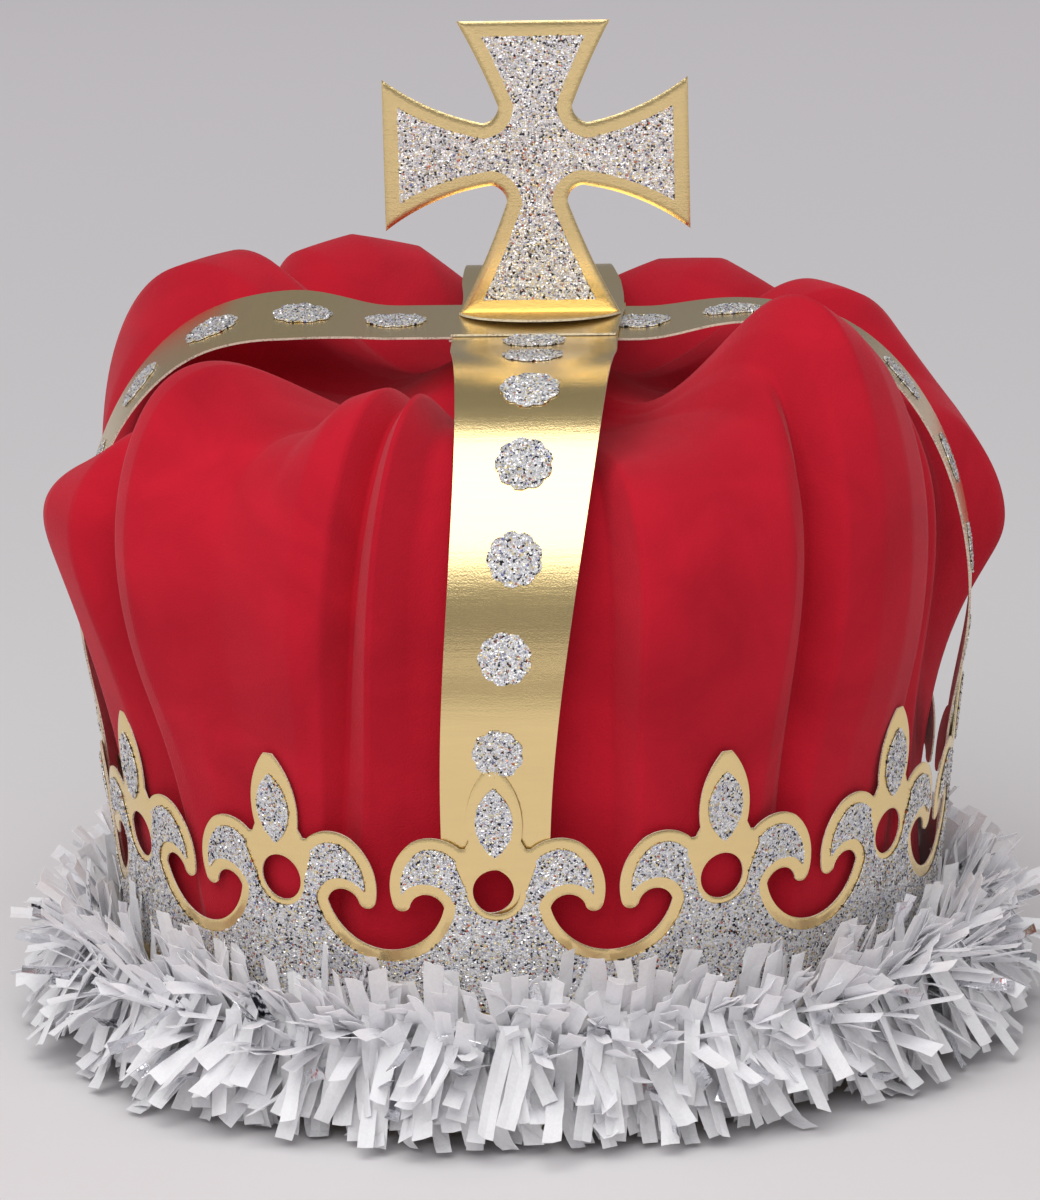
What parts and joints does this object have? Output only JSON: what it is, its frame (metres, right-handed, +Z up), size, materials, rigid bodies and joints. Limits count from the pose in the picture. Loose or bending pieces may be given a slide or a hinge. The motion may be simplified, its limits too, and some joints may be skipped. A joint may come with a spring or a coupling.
{
  "type": "dressing-up crown",
  "caption": "Dressing-up crown: die-cut gold card band with fleurs, arched straps, a cross on top, a gathered velvet-like cap and a tissue fringe round the foot.",
  "frame": {"origin": "centre of the crown's footprint on the surface it stands on", "axes": "+Z up through the cross, -Y towards the front with the glittered cross face, +X to the wearer's left"},
  "size_m": [0.2398, 0.2398, 0.2309],
  "materials": {
    "gold_card": "gold foil laminated on card, mirror-like, white cut edges",
    "glitter": "silver glitter flakes in clear glue",
    "red_velvet": "red flocked cloth with a short pile",
    "white_cord": "twisted white thread",
    "tissue": "thin white tissue paper, slightly translucent",
    "silver_foil": "metallised film, mirror-like"
  },
  "bodies": {
    "root": {"crown_band": "gold_card", "band_glitter": "glitter", "front_strap": "gold_card", "back_strap": "gold_card", "left_strap": "gold_card", "right_strap": "gold_card", "front_dots": "glitter", "back_dots": "glitter", "left_dots": "glitter", "right_dots": "glitter", "cross_front": "gold_card", "cross_back": "gold_card", "cross_glitter": "glitter", "velvet_cap": "red_velvet", "garland_cord": "white_cord", "tissue_strips": "tissue", "foil_strips": "silver_foil"}
  },
  "joints": []
}
